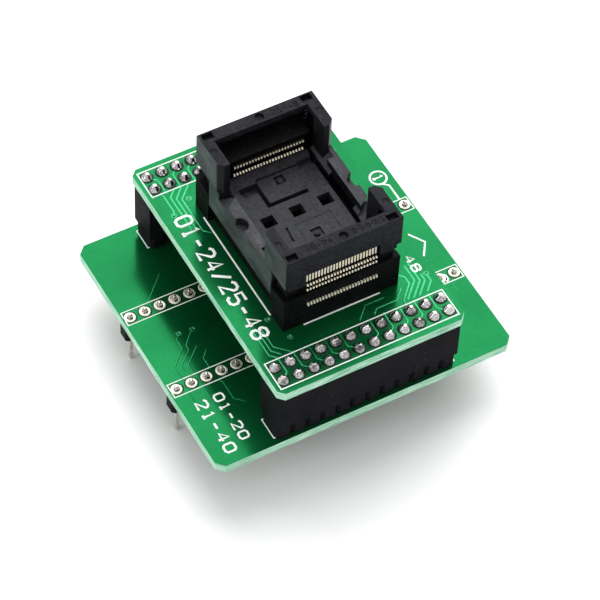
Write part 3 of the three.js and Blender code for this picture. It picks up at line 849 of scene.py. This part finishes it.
def seat_body():
    seat = made_from("chip_seat", "chip_seat_body")
    level = ADAPTER_TOP + SEAT_FLOOR
    slit = [(-3.05, -2.15), (-3.2, -3.0), (-3.36, -4.1), (-3.3, -5.0)]
    plate = [(-1.6, -5.8), (-1.6, -2.3), (4.2, -2.3), (4.2, -5.8)]
    carve(seat, lines("slit", [(slit, False)], 0.42, level, 0.5))
    carve(seat, lines("plate", [(plate, False)], 0.14, level, 0.08))
    carve(seat, lines("rear", [([(-2.9, 7.75), (4.1, 7.75)], False)], 0.3, level, 0.4))
    carve(seat, block("step", (4.2, 7.0, level - 0.6), (7.0, 8.1, level + 1)))
    bosses = [rod("boss", 0.52, level - 0.4, level - 0.02, at) for at in ((0.6, -5.0), (0.5, 6.4))]
    whole = round_edges(joined("chip_seat_body", [seat, *bosses]), 0.06)
    fit(whole, "adapter", "socket_plastic", SEAT, "chip_seat")


def cover_body():
    cover = made_from("socket_cover", "socket_cover_body")
    for s in (-1, 1):
        carve(cover, rod("mark", 0.72, COVER_TOP - 0.45, COVER_TOP + 1, (0.3, s * 12.75), 24))
        for t in (-1, 1):
            carve(cover, rod("mark", 0.5, COVER_TOP - 0.15, COVER_TOP + 1, (t * 8.9, s * 9.9), 20))
    round_edges(cover, 0.09)
    cover.data.materials.append(SOCKET)
    cover.data.materials.append(LIT_RAIL)
    # the upward faces of the side rails get the lighter copy: painted light
    with editing(cover, "FACE"):
        choose(cover, lambda at, way: way.z > 0.3 and abs(at.x) > 7 and abs(at.y) < 6.5
               and at.z < COVER_TOP - 1)
        cover.active_material_index = 1
        bpy.ops.object.material_slot_assign()
    fit(cover, "cover", "socket_plastic", SOCKET, "socket_cover")


def contact_combs():
    """Thin black ribs of the base that stand between the contacts."""
    ribs_seen = ((9.25, 11.9, 8.7, 11.95), (12.45, 13.08, 6.9, 10.95), (13.2, 13.72, 4.0, 4.8))
    gaps = [(x, 0, 0) for x in columns(CONTACTS + 1, CONTACT_PITCH)]
    for end, s in SIDES:
        ribs = []
        for near, far, low, high in ribs_seen:
            y0, y1 = sorted((s * near, s * far))
            z0, z1 = ADAPTER_TOP + low, ADAPTER_TOP + high
            rib = block("rib", (-RIB_WIDTH / 2, y0, z0), (RIB_WIDTH / 2, y1, z1))
            ribs += copies(round_edges(rib, 0.02, 1), gaps)
        fit(joined(f"contact_comb_{end}", ribs), "adapter", "base_plastic", BASE)


def cover_numbers():
    marks = (("48-24", -5.8, -1.6, -12.6), ("0-5-0-2-5", 1.9, 7.0, -12.6), ("25-48", 2.2, 6.6, 12.6))
    drawn = [numerals("contacts", signs, (x0, y - 0.45), (x1, y + 0.45), COVER_TOP, 0.18, along_x=True,
                      thick=0.02) for signs, x0, x1, y in marks]
    fit(joined("cover_numbers", drawn), "cover", "socket_plastic", BASE)


def coil_springs():
    for end in ENDS:
        for side in ("left", "right"):
            cad = f"cover_spring_{end}_{side}"
            low, high = in_mm(cad)
            middle = (low + high) / 2
            radius = (high.x - low.x) / 2 - SPRING_WIRE
            points = SPRING_TURNS * SPRING_STEPS
            rise = high.z - low.z - 2 * SPRING_WIRE
            curve = bpy.data.curves.new(cad, "CURVE")
            curve.dimensions = "3D"
            curve.bevel_depth = SPRING_WIRE * MM
            curve.bevel_resolution = 1
            curve.use_fill_caps = True
            spline = curve.splines.new("POLY")
            spline.points.add(points)
            for i, knot in enumerate(spline.points):
                turn = 2 * pi * i / SPRING_STEPS
                knot.co = ((middle.x + radius * cos(turn)) * MM, (middle.y + radius * sin(turn)) * MM,
                           (low.z + SPRING_WIRE + rise * i / points) * MM, 1)
            coil = bpy.data.objects.new(f"coil_spring_{end}_{side}", curve)
            bpy.context.scene.collection.objects.link(coil)
            only(coil)
            bpy.ops.object.convert(target="MESH")
            coil = smooth(bpy.context.object, 60)
            fit(coil, "adapter", "spring_steel", STEEL, cad)
            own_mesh(coil)


def contacts():
    """The CAD contacts keep their shape and get plated."""
    for end in ENDS:
        for cad in (f"lower_contacts_{end}", f"contact_jaw_{end}",
                    f"fork_contacts_{end}_outer", f"fork_contacts_{end}_inner"):
            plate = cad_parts[cad]
            plate.data.materials.clear()
            plate.data.materials.append(TIN if cad.startswith("fork") else GOLD)


socket_body()
seat_body()
cover_body()
cover_numbers()
contact_combs()
coil_springs()
contacts()


# ---------- camera, floor and light ----------
def aim_camera():
    azimuth, elevation, roll = radians(-31.28), radians(52.13), radians(3.0)
    distance, slide_across, slide_up = 495.5, 1.03, -0.79
    back = Vector((sin(azimuth) * cos(elevation), -cos(azimuth) * cos(elevation), sin(elevation)))
    level = Vector((cos(azimuth), sin(azimuth), 0))
    steep = back.cross(level)
    across = cos(roll) * level + sin(roll) * steep
    upward = cos(roll) * steep - sin(roll) * level
    place = back * distance + across * slide_across + upward * slide_up + Vector((0, 0, BASE_TOP))
    lens = bpy.data.cameras.new("camera")
    lens.lens = 194.2
    lens.sensor_width = 36
    lens.clip_start = 0.01
    lens.clip_end = 10
    camera = bpy.data.objects.new("camera", lens)
    turned = Matrix((across, upward, back)).transposed().to_4x4()
    camera.matrix_world = Matrix.Translation(place * MM) @ turned
    bpy.context.scene.collection.objects.link(camera)
    bpy.context.scene.camera = camera


def pale_floor():
    bpy.ops.object.select_all(action="DESELECT")
    bpy.ops.mesh.primitive_plane_add(size=6)
    floor = bpy.context.object
    floor.name = "floor"
    paper = Finish("white paper", Specular_IOR_Level=0.3, Roughness=0.55)
    texture = paper.use(GRAIN, Grain_Scale=900.0, Drift_Scale=4.0)
    paper.link(paper.blend(texture["Tone"], (0.86, 0.87, 0.86), (0.9, 0.9, 0.9)), "Base Color")
    floor.data.materials.append(paper.material)


def soft_light(name, place, size, power):
    """A round softbox turned to the middle of the part."""
    lamp = bpy.data.lights.new(name, "AREA")
    lamp.shape = "DISK"
    lamp.size = size
    lamp.energy = power
    holder = bpy.data.objects.new(name, lamp)
    holder.location = place
    towards = Vector((0, 0, 0.02)) - Vector(place)
    holder.rotation_euler = towards.to_track_quat("-Z", "Y").to_euler()
    bpy.context.scene.collection.objects.link(holder)


def light_studio():
    world = bpy.data.worlds.new("studio")
    world.use_nodes = True
    world.node_tree.nodes["Background"].inputs["Color"].default_value = (1, 1, 1, 1)
    world.node_tree.nodes["Background"].inputs["Strength"].default_value = 0.85
    bpy.context.scene.world = world
    soft_light("key", (0.40, 0.58, 0.85), size=1.3, power=15.0)
    soft_light("fill", (-0.85, 0.1, 0.40), size=0.4, power=1.6)
    bpy.context.scene.view_settings.view_transform = "Standard"


aim_camera()
pale_floor()
light_studio()
